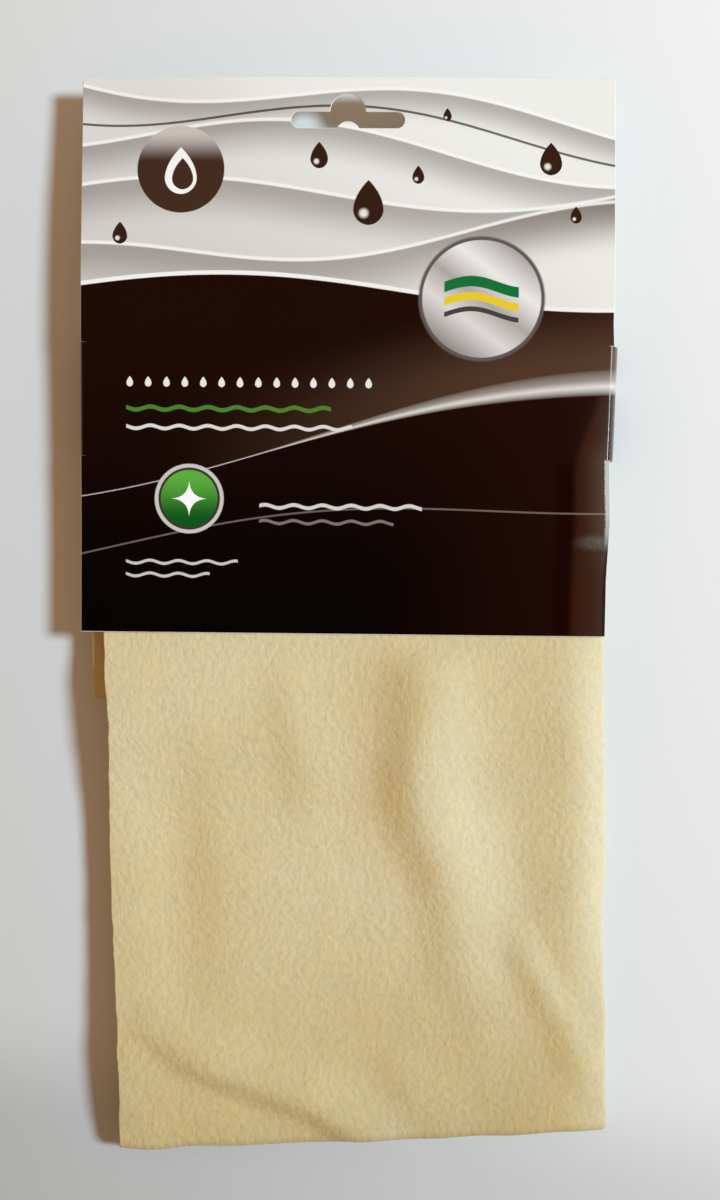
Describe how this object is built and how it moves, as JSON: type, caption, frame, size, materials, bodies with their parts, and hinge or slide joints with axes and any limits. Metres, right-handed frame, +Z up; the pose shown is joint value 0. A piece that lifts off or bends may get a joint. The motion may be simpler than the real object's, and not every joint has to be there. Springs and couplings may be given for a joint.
{
  "type": "chamois leather in a card sleeve",
  "caption": "Chamois leather folded into a flat pad and held in a printed card sleeve with side straps and a shop hang slot; the sleeve slides off.",
  "frame": {"origin": "on the surface that the pack lies on, under the middle of its outline", "axes": "+X across the pack, +Y along it towards the hang slot, +Z up from the surface through the printed front"},
  "size_m": [0.1526, 0.3065, 0.0137],
  "materials": {
    "chamois": "soft suede nap, pale straw yellow",
    "printed_card": "coated print, pale grey over dark brown, white inside and on the cut edges"
  },
  "bodies": {
    "folded_leather": {"chamois_leather": "chamois"},
    "card_sleeve": {"sleeve_front_panel": "printed_card", "sleeve_left_strap": "printed_card", "sleeve_right_strap": "printed_card"}
  },
  "joints": [
    {"name": "sleeve_slide", "type": "slide", "parent": "folded_leather", "child": "card_sleeve", "axis": [0, 1, 0], "range_m": [0, 0.13]}
  ]
}
